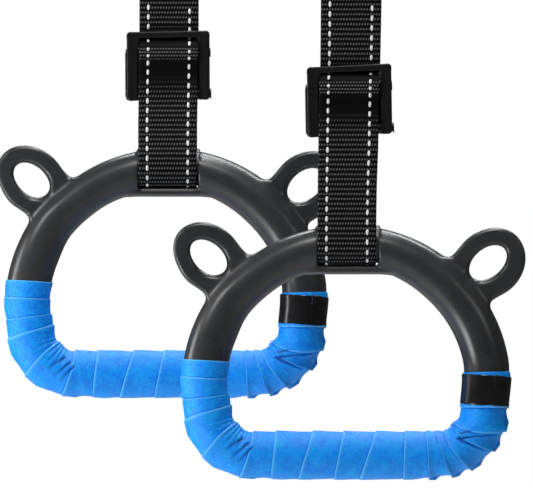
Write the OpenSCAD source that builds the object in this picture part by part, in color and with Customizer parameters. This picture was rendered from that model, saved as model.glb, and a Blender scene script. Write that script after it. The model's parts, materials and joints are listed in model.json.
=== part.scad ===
// Pair of D-shaped gymnastics rings, each on an adjustable webbing strap with a cam buckle.
// Origin: centre of the front strap's hanging eye. +Z up, -Y towards the user, +X to the right.

/* [Ring] */
// Radius of the ring's top arc, to the middle of its bar
arc_r = 89.4; // [86:0.2:93]
// Diameter of the ring's bar
bar_d = 28; // [27:0.5:29]
// Drop from the arc's centre to the middle of the grip
grip_drop = 44.4; // [40:0.2:50]
// Radius of the lower corners, to the middle of the bar
corner_r = 27.3; // [24:0.1:32]

/* [Ears] */
// Distance from the arc's centre to the middle of an ear's hole
ear_reach = 120.4; // [118:0.2:123]
// Angle of an ear above the horizontal
ear_angle = 42; // [38:1:46]
// Length of an ear's oval hole
ear_hole_l = 27; // [24:0.5:28]
// Width of an ear's oval hole
ear_hole_w = 17.8; // [15:0.2:19]
// Width of the rim round the hole
ear_rim = 11.8; // [10:0.2:13]
// Thickness of an ear
ear_t = 12; // [9:0.5:14]

/* [Strap] */
// Width of the webbing
web_w = 38; // [36:0.5:38]
// Thickness of the webbing
web_t = 2; // [1.6:0.1:2]
// Radius of the round bar that the hanging eye takes
eye_r = 17; // [15:0.5:17]
// Length of the sewn part below the eye
eye_sewn = 32; // [28:1:33]

/* [Grip tape] */
// Thickness of the wrapped grip tape
tape_t = 1.5; // [1:0.1:1.6]
// Thickness of the finishing tape
band_t = 0.4; // [0.3:0.1:0.6]

/* [Buckle] */
// Outer width of the buckle frame
frame_w = 53.8; // [53.8:0.2:55]
// Height of the buckle frame
frame_h = 45; // [45:0.5:46]
// Width of the cam lever's thumb plate
lever_w = 55.8; // [55.4:0.2:57]
// Diameter of the cam pin
cam_pin_d = 4; // [3.6:0.1:4]
// Diameter of the fixed bar that the strap end is sewn round
fixed_bar_d = 5; // [4:0.5:5]

/* [Layout] */
// Sideways distance from the front strap to the rear strap
pair_x = 116.4; // [110:0.2:130]
// Distance from the front ring's plane to the rear ring's plane
pair_y = 120; // [110:5:200]
// Height of the front ring's strap seat
front_seat_z = -252.6; // [-262:0.2:-252]
// Height of the front buckle's middle
front_buckle_z = -160.7; // [-162:0.1:-158]
// Sideways offset of the front buckle on its webbing
front_shift = 1; // [0:0.1:1.2]
// Sideways tilt of the front buckle
front_tilt = 2.7; // [0:0.1:3]
// Height of the rear ring's strap seat
rear_seat_z = -202.2; // [-206:0.2:-201]
// Height of the rear buckle's middle
rear_buckle_z = -136.2; // [-138:0.1:-136]
// Sideways tilt of the rear buckle
rear_tilt = 1; // [0:0.1:3]

/* [Hidden] */

$fn = 96;
bar_r = bar_d / 2;
web_y = -1;                 // middle of the single webbing layer above the buckle
ring_y = web_y - 1.3;       // plane of the ring
seat_r = 12;                // round seat inside the strap loop
seat_up = 1.6;              // seat axis above the middle of the bar
seat_half = web_w / 2 + 0.6;
loop_r = seat_r + 0.3 + web_t / 2;   // middle of the webbing round the seat
lip_r0 = seat_r + web_t + 0.8;
lip_r1 = lip_r0 + 4.7;
lip_a = 27;
eye_mid = eye_r + web_t / 2;
throat_z = -46;
flex_z = -84;               // where the strap flexes when the ring swings
split_z = -100;             // where the strap twists when the ring turns
cheek_in = 24.1;
rail_in = web_w / 2 + 2.3;
half_w = frame_w / 2;
pin_y = 2.5;  pin_b = 31;   // cam pin, in the buckle's own side view
cam_y = 1.5;  cam_b = 30.4; cam_r = 6.5;
bar_y = 1.5;  bar_b = 4;    // fixed bar

plastic = [0.13, 0.135, 0.14];
web_black = [0.05, 0.05, 0.05];
tape_blue = [0.06, 0.45, 0.95];
metal_black = [0.09, 0.09, 0.09];
steel = [0.6, 0.6, 0.62];

function rot2(p, a) = [p[0] * cos(a) - p[1] * sin(a), p[0] * sin(a) + p[1] * cos(a)];
function arc_pts(c, r, a0, a1, n) = [for (i = [0:n]) c + r * [cos(a0 + (a1 - a0) * i / n), sin(a0 + (a1 - a0) * i / n)]];
function rev(l) = [for (i = [len(l) - 1:-1:0]) l[i]];
function unit(v) = v / norm(v);
// smooth curve through points, k samples a span
function cr(p0, p1, p2, p3, t) = 0.5 * (2 * p1 + (p2 - p0) * t + (2 * p0 - 5 * p1 + 4 * p2 - p3) * t * t + (3 * p1 - p0 - 3 * p2 + p3) * t * t * t);
function smooth(p, k) = concat([for (i = [0:len(p) - 2], j = [0:k - 1])
    cr(p[max(i - 1, 0)], p[i], p[i + 1], p[min(i + 2, len(p) - 1)], j / k)], [p[len(p) - 1]]);
function normal_at(p, i) = let (d = unit(p[min(i + 1, len(p) - 1)] - p[max(i - 1, 0)])) [-d[1], d[0]];
function strip(p, t) = concat([for (i = [0:len(p) - 1]) p[i] + normal_at(p, i) * t / 2],
                              [for (i = [len(p) - 1:-1:0]) p[i] - normal_at(p, i) * t / 2]);

// side-view outline (Y, Z) extruded along X, centred
module along_x(w) { rotate([90, 0, 90]) linear_extrude(height = w, center = true, convexity = 6) children(); }
module rod_x(r, w) { rotate([0, 90, 0]) cylinder(r = r, h = w, center = true); }

// ---------- ring ----------
module bend(cx, cz, big_r, r, a0, a1) {
  translate([cx, 0, cz]) rotate([90, 0, 0]) rotate([0, 0, a0])
    rotate_extrude(angle = a1 - a0, $fn = 144) translate([big_r, 0]) circle(r = r, $fn = 64);
}
// bar of radius r along the D, from angle a0 on the right round the bottom to angle a1 on the left
module d_bar(r, right_up, left_up) {
  cx = arc_r - corner_r;
  cz = -(grip_drop - corner_r);
  if (right_up > 0) bend(0, 0, arc_r, r, 0, right_up);
  if (left_up > 0) bend(0, 0, arc_r, r, 180 - left_up, 180);
  for (s = [-1, 1]) translate([s * arc_r, 0, cz]) cylinder(r = r, h = -cz, $fn = 64);
  bend(cx, cz, corner_r, r, -90, 0);
  bend(-cx, cz, corner_r, r, 180, 270);
  translate([0, 0, -grip_drop]) rotate([0, 90, 0]) cylinder(r = r, h = 2 * cx, center = true, $fn = 64);
}
function ellipse_pts(a, b, n, a0 = 0, a1 = 360) = [for (i = [0:n]) let (t = a0 + (a1 - a0) * i / n) [a * cos(t), b * sin(t)]];
module ear_2d() {
  la = ear_hole_l / 2 + ear_rim;
  lb = ear_hole_w / 2 + ear_rim;
  difference() {
    polygon(concat(ellipse_pts(la, lb, 28, -90, 90), [[-8, 19.2], [-14, 18.8], [-30, 20], [-30, -20], [-14, -18.8], [-8, -19.2]]));
    polygon([for (i = [0:35]) [ear_hole_l / 2 * cos(i * 10), ear_hole_w / 2 * sin(i * 10)]]);
  }
}
module ear() {
  rotate([90, 0, 0]) rotate([0, 0, ear_angle]) translate([ear_reach, 0, 0])
    linear_extrude(height = ear_t, center = true, convexity = 4) ear_2d();
}
module ring_body() {
  seat_z = arc_r + seat_up;
  color(plastic) union() {
    difference() {
      union() {
        bend(0, 0, arc_r, bar_r, 0, 180);
        d_bar(bar_r, 0, 0);
        ear();
        mirror([1, 0, 0]) ear();
      }
      translate([0, 0, seat_z]) rod_x(28, 2 * seat_half);
    }
    translate([0, 0, seat_z]) rod_x(seat_r, 2 * seat_half + 1);
    translate([0, 0, seat_z]) along_x(52)
      polygon(concat(arc_pts([0, 0], lip_r0, 270 - lip_a, 270 + lip_a, 10), rev(arc_pts([0, 0], lip_r1, 270 - lip_a, 270 + lip_a, 10))));
  }
}
tape_left = 11.2;   // how far up the left side the grip tape reaches, in degrees of the arc
tape_right = 5.8;
module hoop(cx, cz, big_r, r0, r1, a0, a1) {
  translate([cx, 0, cz]) rotate([90, 0, 0]) rotate([0, 0, a0])
    rotate_extrude(angle = a1 - a0, $fn = 144) translate([big_r, 0]) difference() { circle(r = r1, $fn = 64); circle(r = r0, $fn = 64); }
}
module sleeve(r0, r1, h) { difference() { cylinder(r = r1, h = h, $fn = 64); translate([0, 0, -1]) cylinder(r = r0, h = h + 2, $fn = 64); } }
module grip_tape() {
  r0 = bar_r + 0.04;
  r1 = bar_r + tape_t;
  cx = arc_r - corner_r;
  cz = -(grip_drop - corner_r);
  color(tape_blue) union() {
    hoop(0, 0, arc_r, r0, r1, 0, tape_right);
    mirror([1, 0, 0]) hoop(0, 0, arc_r, r0, r1, 0, tape_left);
    for (s = [-1, 1]) translate([s * arc_r, 0, cz]) sleeve(r0, r1, -cz);
    hoop(cx, cz, corner_r, r0, r1, -90, 0);
    hoop(-cx, cz, corner_r, r0, r1, 180, 270);
    translate([-cx, 0, -grip_drop]) rotate([0, 90, 0]) sleeve(r0, r1, 2 * cx);
  }
}
module finish_tape() {
  r = bar_r + tape_t + 0.04;
  color(web_black) union() {
    translate([arc_r, 0, -13.6]) sleeve(r, r + band_t, 13.6);
    hoop(0, 0, arc_r, r, r + band_t, 0, 4.5);
  }
}

// ---------- straps, in the strap's own side view: Y across, Z up ----------
function side(y, b, zb) = [ring_y + y, zb - frame_h / 2 + b];
function front_route(zb, zs) = concat(
  [[web_y, split_z - 0.5], [web_y, (split_z + zb + frame_h / 2) / 2], side(1.3, 44.6, zb), side(1.6, 41, zb), side(0.9, 39.2, zb), side(-1.5, 38.2, zb), side(-4.3, 36.9, zb),
   side(-6.5, 33.8, zb), side(-6.95, 30, zb), side(-6.6, 26, zb), side(-6, 20, zb), side(-5.9, 14.5, zb), side(-6.1, 8, zb), side(-6.9, 1, zb)],
  [let (z0 = zb - frame_h / 2) [ring_y - 10.6, zs + (z0 - zs) * 0.45], [ring_y - loop_r, zs + 8]]);
function back_route(zb, zs) = [[ring_y + loop_r, zs + 6], [ring_y + 6.9, zb - frame_h / 2 - 3]];
function loop_route(zb, zs) = concat(
  smooth(front_route(zb, zs), 3),
  arc_pts([ring_y, zs], loop_r, 180, 360, 16),
  smooth(concat(back_route(zb, zs), [side(bar_y + 4.5, bar_b, zb)]), 3),
  arc_pts(side(bar_y, bar_b, zb), 4.5, 20, 180, 9),
  tail_route(zb, zs));
// sewn-back end, beside the back layer
tail_l = 19;
function back_dir(zb, zs) = unit([ring_y + loop_r, zs + 6] - [ring_y + 6.9, zb - frame_h / 2 - 3]);
function tail_route(zb, zs) = let (d = back_dir(zb, zs), n = [d[1], -d[0]], s = [ring_y + 6.9, zb - frame_h / 2 - 3] + n * (web_t + 0.05) * (n[0] < 0 ? 1 : -1))
  [side(bar_y - 3.9, bar_b - 4, zb), s + d * 3, s + d * tail_l];
module strap_loop(zb, zs) {
  color(web_black) along_x(web_w) polygon(strip(loop_route(zb, zs), web_t));
}
module strap_upper() {
  color(web_black) translate([0, web_y, (flex_z - 1.2 + split_z + 0.5) / 2]) cube([web_w, web_t, abs(flex_z - 1.2 - split_z - 0.5)], center = true);
}
// two tangents from a point on the strap's line down to a circle of radius r
function kite(r, z) = let (a = asin(r / abs(z))) [[0, 0], [r * cos(a), -r * sin(a)], [0, z], [-r * cos(a), -r * sin(a)]];
module strap_eye() {
  sewn_z = throat_z - eye_sewn;
  color(web_black) union() {
    difference() {
      union() {
        rod_x(eye_r + web_t, web_w);
        along_x(web_w) polygon(kite(eye_r + web_t - 0.05, throat_z - web_t / 2 / sin(asin(eye_mid / abs(throat_z)))));
      }
      rod_x(eye_r, web_w + 2);
      along_x(web_w + 2) polygon(kite(eye_r - 0.05, throat_z + web_t / 2 / sin(asin(eye_mid / abs(throat_z)))));
    }
    translate([0, web_y, (throat_z + flex_z + 1.2) / 2]) cube([web_w, web_t, abs(flex_z + 1.2 - throat_z)], center = true);
    translate([0, web_y + web_t, (throat_z + sewn_z) / 2]) cube([web_w, web_t, eye_sewn], center = true);
  }
}
// box stitch with a cross, w wide and h high, on the plane y = 0, standing out towards -Y
module box_stitch(w, h) {
  t = 0.4; b = 0.8;
  a = atan2(w, h);
  for (s = [-1, 1]) {
    translate([s * w / 2, -t / 2, 0]) cube([b, t, h + b], center = true);
    translate([0, -t / 2, s * h / 2]) cube([w, t, b], center = true);
    translate([0, -t / 2, 0]) rotate([0, s * a, 0]) cube([b, t, norm([w, h])], center = true);
  }
}
module eye_stitching() {
  z = throat_z - eye_sewn / 2 - 0.5;
  color(metal_black) {
    translate([0, web_y - web_t / 2, z]) box_stitch(web_w - 9, eye_sewn - 8);
    translate([0, web_y + 1.5 * web_t, z]) mirror([0, 1, 0]) box_stitch(web_w - 9, eye_sewn - 8);
  }
}
module loop_stitching(zb, zs) {
  d = back_dir(zb, zs);
  a = atan2(d[0], -d[1]);
  s = [ring_y + 6.9, zb - frame_h / 2 - 3] + d * 11;
  color(metal_black) translate([0, s[0], s[1]]) rotate([a, 0, 0]) {
    translate([0, web_t / 2 + 0.12, 0]) mirror([0, 1, 0]) box_stitch(web_w - 9, 13);
    translate([0, -1.5 * web_t - 0.17, 0]) box_stitch(web_w - 9, 13);
  }
}

// ---------- buckle: X across, Y and B (height above its bottom edge) in side view ----------
module at_buckle(zb, tilt, shift = 0) { translate([shift, ring_y, zb]) rotate([0, -tilt, 0]) translate([0, 0, -frame_h / 2]) children(); }
function cheek_pts() = concat(
  arc_pts([-1.5, 3], 3, 180, 270, 5), arc_pts([4.5, 3], 3, 270, 360, 5),
  [[7.5, pin_b]], arc_pts([pin_y, pin_b], 5, 0, 80, 8),
  [[-0.2, 40.5]], arc_pts([-1.2, frame_h - 1], 1, 0, 90, 4), arc_pts([-2.5, frame_h - 2], 2, 90, 180, 4));
module buckle_frame() {
  color(metal_black) difference() {
    union() {
      for (s = [-1, 1]) {
        translate([s * (cheek_in + half_w) / 2, 0, 0]) along_x(half_w - cheek_in) polygon(cheek_pts());
        // front rail, with round corners in front view
        rotate([90, 0, 0]) translate([0, 0, 2]) linear_extrude(height = 2.5)
          polygon([for (p = concat(
            arc_pts([half_w - 3, 3], 3, 270, 360, 6), arc_pts([half_w - 2.4, frame_h - 2.4], 2.4, 0, 90, 6),
            [[rail_in, frame_h], [rail_in, 0]])) [s * p[0], p[1]]]);
      }
      translate([-rail_in - 0.5, -4.5, 41.4]) cube([2 * rail_in + 1, 4.3, frame_h - 41.4]);
    }
    translate([0, pin_y, pin_b]) rod_x(cam_pin_d / 2 + 0.02, 80);
    translate([0, bar_y, bar_b]) rod_x(fixed_bar_d / 2 + 0.02, 80);
    rotate([0, 90, 0]) translate([-pin_b - 3.1, pin_y, 22]) cylinder(r = 0.65, h = 3.9, $fn = 24);
    // the cheeks' outer edges follow the front corners
    for (s = [-1, 1]) translate([s * half_w, 0, frame_h]) rotate([0, 45, 0]) cube([1.6, 20, 1.6], center = true);
  }
}
module cam_lever() {
  lw = 2 * cheek_in - 0.8;
  color(metal_black) difference() {
    union() {
      difference() {
        union() {
          translate([0, cam_y, cam_b]) rod_x(cam_r, 2 * rail_in - 3.4);
          translate([0, pin_y, pin_b]) rod_x(4.1, lw);
        }
        for (a = [100:10:200]) translate([0, cam_y + cam_r * cos(a), cam_b + cam_r * sin(a)]) rotate([a + 45, 0, 0]) cube([web_w - 1, 0.8, 0.8], center = true);
      }
      along_x(lw) polygon([[2.6, 36.7], [8, 35.2], [9.5, 33.5], [9.5, 23.5], [8.6, 22], [6.2, 25.5], [1.3, 30]]);
      // thumb plate with round corners
      translate([0, 11.4, 0]) rotate([90, 0, 0]) linear_extrude(height = 2.8)
        polygon([for (s = [1, -1]) each (s > 0
          ? concat(arc_pts([lever_w / 2 - 4, 4.5], 4, 270, 360, 6), arc_pts([lever_w / 2 - 2, 32.3], 2, 0, 90, 4))
          : rev([for (p = concat(arc_pts([lever_w / 2 - 4, 4.5], 4, 270, 360, 6), arc_pts([lever_w / 2 - 2, 32.3], 2, 0, 90, 4))) [-p[0], p[1]]]))]);
      for (i = [0:4]) translate([0, 11.4, 4 + 3 * i]) rod_x(0.7, 36, $fn = 24);
    }
    translate([0, pin_y, pin_b]) rod_x(cam_pin_d / 2 + 0.06, 80);
    translate([15.5, pin_y, pin_b]) rotate([0, 90, 0]) cylinder(r = 4.1, h = 20, $fn = 48);
    rotate([0, 90, 0]) translate([-pin_b + 3.1, pin_y, 12]) cylinder(r = 0.65, h = 4, $fn = 24);
  }
}
module cam_pin() {
  color(steel) translate([0, pin_y, pin_b]) {
    rod_x(cam_pin_d / 2, frame_w + 0.2);
    for (s = [-1, 1]) translate([s * (half_w + 0.45), 0, 0]) rod_x(3, 0.9);
  }
}
module fixed_bar() {
  color(steel) translate([0, bar_y, bar_b]) {
    rod_x(fixed_bar_d / 2, frame_w + 0.2);
    for (s = [-1, 1]) translate([s * (half_w + 0.45), 0, 0]) rod_x(3.3, 0.9);
  }
}
// torsion spring round the cam pin: one end in the lever, the other in the right cheek
wire_r = 0.45;
coil_r = 3.1;
turns = 4.5;
function coil_pts() = concat(
  [[13, 0, -coil_r], [15.6, 0, -coil_r], [16.5, 0.25, -coil_r]],
  [for (i = [1:1:54 * turns / 4.5]) let (a = -90 + i * 360 * turns / 54) [16.9 + 5.1 * i / 54, coil_r * cos(a), coil_r * sin(a)]],
  [[22.9, -0.25, coil_r], [23.6, 0, coil_r], [25.8, 0, coil_r]]);
function tan3(p, i) = unit(p[min(i + 1, len(p) - 1)] - p[max(i - 1, 0)]);
function frame_of(t) = let (u = unit(cross(t, abs(t[0]) > 0.9 ? [0, 1, 0] : [1, 0, 0]))) [u, cross(t, u)];
// each ring's frame turns as little as it can from the one before it
function frames(p, i = 0, prev = undef, out = []) = i >= len(p) ? out :
  let (t = tan3(p, i), f = prev == undef ? frame_of(t) : let (u = unit(prev[0] - t * (prev[0] * t))) [u, cross(t, u)])
  frames(p, i + 1, f, concat(out, [f]));
module tube3(p, r, n) {
  f = frames(p);
  polyhedron(
    points = [for (i = [0:len(p) - 1], k = [0:n - 1]) p[i] + r * (f[i][0] * cos(360 * k / n) + f[i][1] * sin(360 * k / n))],
    faces = concat([[for (k = [n - 1:-1:0]) k]],
      [for (i = [0:len(p) - 2], k = [0:n - 1]) [i * n + k, i * n + (k + 1) % n, (i + 1) * n + (k + 1) % n, (i + 1) * n + k]],
      [[for (k = [0:n - 1]) (len(p) - 1) * n + k]]), convexity = 8);
}
module cam_spring() {
  color(steel) translate([0, pin_y, pin_b]) tube3(coil_pts(), wire_r, 8);
}

// ---------- the two sets ----------
module ring_place(zs) { translate([0, ring_y, zs - arc_r - seat_up]) children(); }
module rear() { translate([-pair_x, pair_y, 0]) children(); }

ring_place(front_seat_z) ring_body();  // front_ring_body
ring_place(front_seat_z) grip_tape();  // front_grip_tape
ring_place(front_seat_z) finish_tape();  // front_finish_tape
strap_eye();  // front_strap_eye
eye_stitching();  // front_eye_stitching
strap_upper();  // front_strap_upper
strap_loop(front_buckle_z, front_seat_z);  // front_strap_loop
loop_stitching(front_buckle_z, front_seat_z);  // front_loop_stitching
at_buckle(front_buckle_z, front_tilt, front_shift) buckle_frame();  // front_buckle_frame
at_buckle(front_buckle_z, front_tilt, front_shift) cam_lever();  // front_cam_lever
at_buckle(front_buckle_z, front_tilt, front_shift) cam_pin();  // front_cam_pin
at_buckle(front_buckle_z, front_tilt, front_shift) cam_spring();  // front_cam_spring
at_buckle(front_buckle_z, front_tilt, front_shift) fixed_bar();  // front_fixed_bar

rear() ring_place(rear_seat_z) ring_body();  // rear_ring_body
rear() ring_place(rear_seat_z) grip_tape();  // rear_grip_tape
rear() ring_place(rear_seat_z) finish_tape();  // rear_finish_tape
rear() strap_eye();  // rear_strap_eye
rear() eye_stitching();  // rear_eye_stitching
rear() strap_upper();  // rear_strap_upper
rear() strap_loop(rear_buckle_z, rear_seat_z);  // rear_strap_loop
rear() loop_stitching(rear_buckle_z, rear_seat_z);  // rear_loop_stitching
rear() at_buckle(rear_buckle_z, rear_tilt) buckle_frame();  // rear_buckle_frame
rear() at_buckle(rear_buckle_z, rear_tilt) cam_lever();  // rear_cam_lever
rear() at_buckle(rear_buckle_z, rear_tilt) cam_pin();  // rear_cam_pin
rear() at_buckle(rear_buckle_z, rear_tilt) cam_spring();  // rear_cam_spring
rear() at_buckle(rear_buckle_z, rear_tilt) fixed_bar();  // rear_fixed_bar
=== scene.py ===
import bpy, math, json
import numpy as np
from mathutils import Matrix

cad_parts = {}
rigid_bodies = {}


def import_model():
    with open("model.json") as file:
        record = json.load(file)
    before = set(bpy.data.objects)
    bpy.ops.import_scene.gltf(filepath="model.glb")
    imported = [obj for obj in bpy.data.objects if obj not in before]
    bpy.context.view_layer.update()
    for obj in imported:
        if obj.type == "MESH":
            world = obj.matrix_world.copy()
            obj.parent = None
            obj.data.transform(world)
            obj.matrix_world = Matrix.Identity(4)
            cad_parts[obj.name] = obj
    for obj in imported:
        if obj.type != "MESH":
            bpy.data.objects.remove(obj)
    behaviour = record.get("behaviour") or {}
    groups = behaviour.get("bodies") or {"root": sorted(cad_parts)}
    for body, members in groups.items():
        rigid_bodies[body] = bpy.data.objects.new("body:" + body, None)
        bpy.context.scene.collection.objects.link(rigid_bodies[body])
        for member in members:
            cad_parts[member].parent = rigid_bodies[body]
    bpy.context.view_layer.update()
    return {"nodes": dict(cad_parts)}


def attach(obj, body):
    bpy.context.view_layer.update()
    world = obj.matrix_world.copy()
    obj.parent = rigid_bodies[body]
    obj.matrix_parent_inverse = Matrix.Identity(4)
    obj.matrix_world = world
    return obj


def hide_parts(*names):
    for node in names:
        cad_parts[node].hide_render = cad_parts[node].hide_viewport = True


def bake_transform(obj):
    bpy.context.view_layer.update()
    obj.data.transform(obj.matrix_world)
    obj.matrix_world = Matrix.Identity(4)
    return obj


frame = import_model()
rng = np.random.default_rng(7)

# ------------------------------------------------------------------ sizes, mm, as in the CAD
ARC, DROP, CR = 89.4, 44.4, 27.3
SIDE_Z = -(DROP - CR)
CX = ARC - CR
TAPE = 1.5
EAR_R, EAR_A = 120.4, math.radians(42)
WEB_Y = -1.0
RING_Y = -2.3
SEAT_UP = 1.6
LOOP_R = 13.3
FRAME_H, FRAME_W = 45.0, 53.8
SETS = {
    "front": dict(x=0.0, y=0.0, zs=-252.6, zb=-160.7, tilt=2.7, shift=1.0, row=40.3,
                  lean=([-265, -242, -221.6, -211.3, -191, -165, -148, -138, -99, -60, -15], [-0.75, -0.75, -0.5, -0.35, 0.2, 0.6, 1.0, 1.5, 2.1, 2.1, 0.0]),
                  wide=([-265, -222, -190, -137, -99], [0.985, 0.99, 1.01, 1.014, 1.025])),
    "rear": dict(x=-116.4, y=120.0, zs=-202.2, zb=-136.2, tilt=1.0, shift=0.0, row=40.6,
                 lean=([-215, -175, -150, -125, -99, -60, -15], [-0.4, -0.4, 0.0, 0.4, 0.5, 0.5, 0.0]),
                 wide=([-215, -180, -150, -120, -99], [1.0, 1.01, 1.015, 1.02, 1.022])),
}


def smoothstep(a, b, v):
    t = np.clip((v - a) / (b - a), 0, 1)
    return t * t * (3 - 2 * t)


def smin(a, b, k):
    h = np.clip(0.5 + 0.5 * (b - a) / k, 0, 1)
    return b + (a - b) * h - k * h * (1 - h)


def smax(a, b, k):
    return -smin(-a, -b, k)


# ------------------------------------------------------------------ mesh helpers
def make_mesh(name, verts, faces, smooth=True, attrs=None):
    me = bpy.data.meshes.new(name)
    v = np.asarray(verts, dtype=np.float64) * 0.001
    me.from_pydata(v.tolist(), [], [list(map(int, f)) for f in faces])
    me.update()
    if smooth:
        me.polygons.foreach_set("use_smooth", [True] * len(me.polygons))
    for key, (kind, data) in (attrs or {}).items():
        at = me.attributes.new(key, kind, "POINT")
        flat = np.asarray(data, dtype=np.float32).ravel()
        at.data.foreach_set("value" if kind == "FLOAT" else "vector", flat)
    me.validate()
    ob = bpy.data.objects.new(name, me)
    bpy.context.scene.collection.objects.link(ob)
    return ob


def surface_nets(f, lo, hi, h, steps=4):
    """A closed quad mesh of f's zero level, its points moved onto the level itself."""
    n = [int(math.ceil((hi[i] - lo[i]) / h)) + 1 for i in range(3)]
    ax = [lo[i] + h * np.arange(n[i]) for i in range(3)]
    val = np.empty(n)
    for i in range(n[0]):
        g = np.stack(np.meshgrid([ax[0][i]], ax[1], ax[2], indexing="ij"), -1).reshape(-1, 3)
        val[i] = f(g).reshape(n[1], n[2])
    cn = [m - 1 for m in n]
    acc = np.zeros(cn + [3])
    cnt = np.zeros(cn)
    cross = {}
    for a in range(3):
        s0 = [slice(None)] * 3
        s1 = [slice(None)] * 3
        s0[a] = slice(0, -1)
        s1[a] = slice(1, None)
        va, vb = val[tuple(s0)], val[tuple(s1)]
        c = (va < 0) != (vb < 0)
        cross[a] = (c, va < 0)
        idx = np.argwhere(c)
        t = va[c] / (va[c] - vb[c])
        p = np.stack([ax[k][idx[:, k]] for k in range(3)], -1)
        p[:, a] += t * h
        b, d = [k for k in range(3) if k != a]
        for ob in (0, 1):
            for od in (0, 1):
                q = idx.copy()
                q[:, b] -= ob
                q[:, d] -= od
                ok = (q[:, b] >= 0) & (q[:, d] >= 0) & (q[:, b] < cn[b]) & (q[:, d] < cn[d])
                np.add.at(acc, tuple(q[ok].T), p[ok])
                np.add.at(cnt, tuple(q[ok].T), 1)
    used = cnt > 0
    ids = -np.ones(cn, dtype=np.int64)
    ids[used] = np.arange(used.sum())
    verts = acc[used] / cnt[used][:, None]
    faces = []
    for a in range(3):
        c, neg = cross[a]
        idx = np.argwhere(c)
        b, d = (a + 1) % 3, (a + 2) % 3
        ok = (idx[:, b] > 0) & (idx[:, d] > 0) & (idx[:, b] < cn[b]) & (idx[:, d] < cn[d])
        idx = idx[ok]
        q = []
        for ob, od in ((1, 1), (0, 1), (0, 0), (1, 0)):
            r = idx.copy()
            r[:, b] -= ob
            r[:, d] -= od
            q.append(ids[tuple(r.T)])
        q = np.stack(q, -1)
        flip = ~neg[tuple(idx.T)]
        q[flip] = q[flip][:, ::-1]
        faces.append(q)
    faces = np.concatenate(faces)
    e = h * 0.02
    for _ in range(steps):
        d0 = f(verts)
        g = np.stack([(f(verts + e * np.eye(3)[k]) - f(verts - e * np.eye(3)[k])) / (2 * e) for k in range(3)], -1)
        g2 = np.maximum((g * g).sum(-1), 0.2)
        mv = -(d0 / g2)[:, None] * g
        ln = np.linalg.norm(mv, axis=1)
        mv *= np.minimum(1, 0.5 * h / np.maximum(ln, 1e-9))[:, None]
        verts = verts + mv
    return verts, faces


def cleaned(name, verts, faces, mat, move=(0, 0, 0)):
    ob = make_mesh(name, verts + np.array(move), faces)
    ob.data.materials.append(mat)
    return ob


# ------------------------------------------------------------------ materials
def new_mat(name):
    m = bpy.data.materials.new(name)
    m.use_nodes = True
    nt = m.node_tree
    nt.nodes.clear()
    out = nt.nodes.new("ShaderNodeOutputMaterial")
    b = nt.nodes.new("ShaderNodeBsdfPrincipled")
    nt.links.new(b.outputs[0], out.inputs[0])
    return m, nt, b


def node(nt, kind, **kw):
    n = nt.nodes.new(kind)
    for k, v in kw.items():
        if k in n.inputs and not hasattr(n, k):
            n.inputs[k].default_value = v
        else:
            setattr(n, k, v)
    return n


def setin(n, **kw):
    for k, v in kw.items():
        n.inputs[k.replace("_", " ")].default_value = v


def noise(nt, co, scale, detail=4.0, rough=0.55, dist=0.0):
    n = nt.nodes.new("ShaderNodeTexNoise")
    setin(n, Scale=scale, Detail=detail, Roughness=rough, Distortion=dist)
    nt.links.new(co, n.inputs["Vector"])
    return n.outputs["Fac"]


def ramp(nt, fac, stops):
    r = nt.nodes.new("ShaderNodeValToRGB")
    cr = r.color_ramp
    while len(cr.elements) < len(stops):
        cr.elements.new(0.5)
    for e, (p, c) in zip(cr.elements, stops):
        e.position = p
        e.color = (*c, 1) if len(c) == 3 else c
    nt.links.new(fac, r.inputs[0])
    return r.outputs[0]


def mathn(nt, op, a, b=None, c=None):
    n = nt.nodes.new("ShaderNodeMath")
    n.operation = op
    for i, v in enumerate((a, b, c)):
        if v is None:
            continue
        if isinstance(v, (int, float)):
            n.inputs[i].default_value = v
        else:
            nt.links.new(v, n.inputs[i])
    return n.outputs[0]


def bump(nt, height, strength, dist, normal=None):
    n = nt.nodes.new("ShaderNodeBump")
    setin(n, Strength=strength, Distance=dist)
    nt.links.new(height, n.inputs["Height"])
    if normal is not None:
        nt.links.new(normal, n.inputs["Normal"])
    return n.outputs[0]


def maprange(nt, v, a, b, c, d):
    n = nt.nodes.new("ShaderNodeMapRange")
    n.inputs[1].default_value, n.inputs[2].default_value = a, b
    n.inputs[3].default_value, n.inputs[4].default_value = c, d
    nt.links.new(v, n.inputs[0])
    return n.outputs[0]


def objco(nt):
    return nt.nodes.new("ShaderNodeTexCoord").outputs["Object"]


def mat_plastic():
    m, nt, b = new_mat("ring_plastic")
    co = objco(nt)
    big = noise(nt, co, 28.0, 3.0, 0.6)
    fine = noise(nt, co, 900.0, 2.0, 0.6)
    col = ramp(nt, big, [(0.3, (0.024, 0.025, 0.0265)), (0.7, (0.033, 0.034, 0.0355))])
    nt.links.new(col, b.inputs["Base Color"])
    nt.links.new(maprange(nt, big, 0.3, 0.7, 0.27, 0.36), b.inputs["Roughness"])
    nt.links.new(bump(nt, fine, 0.12, 0.0002), b.inputs["Normal"])
    b.inputs["IOR"].default_value = 1.5
    return m


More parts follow.
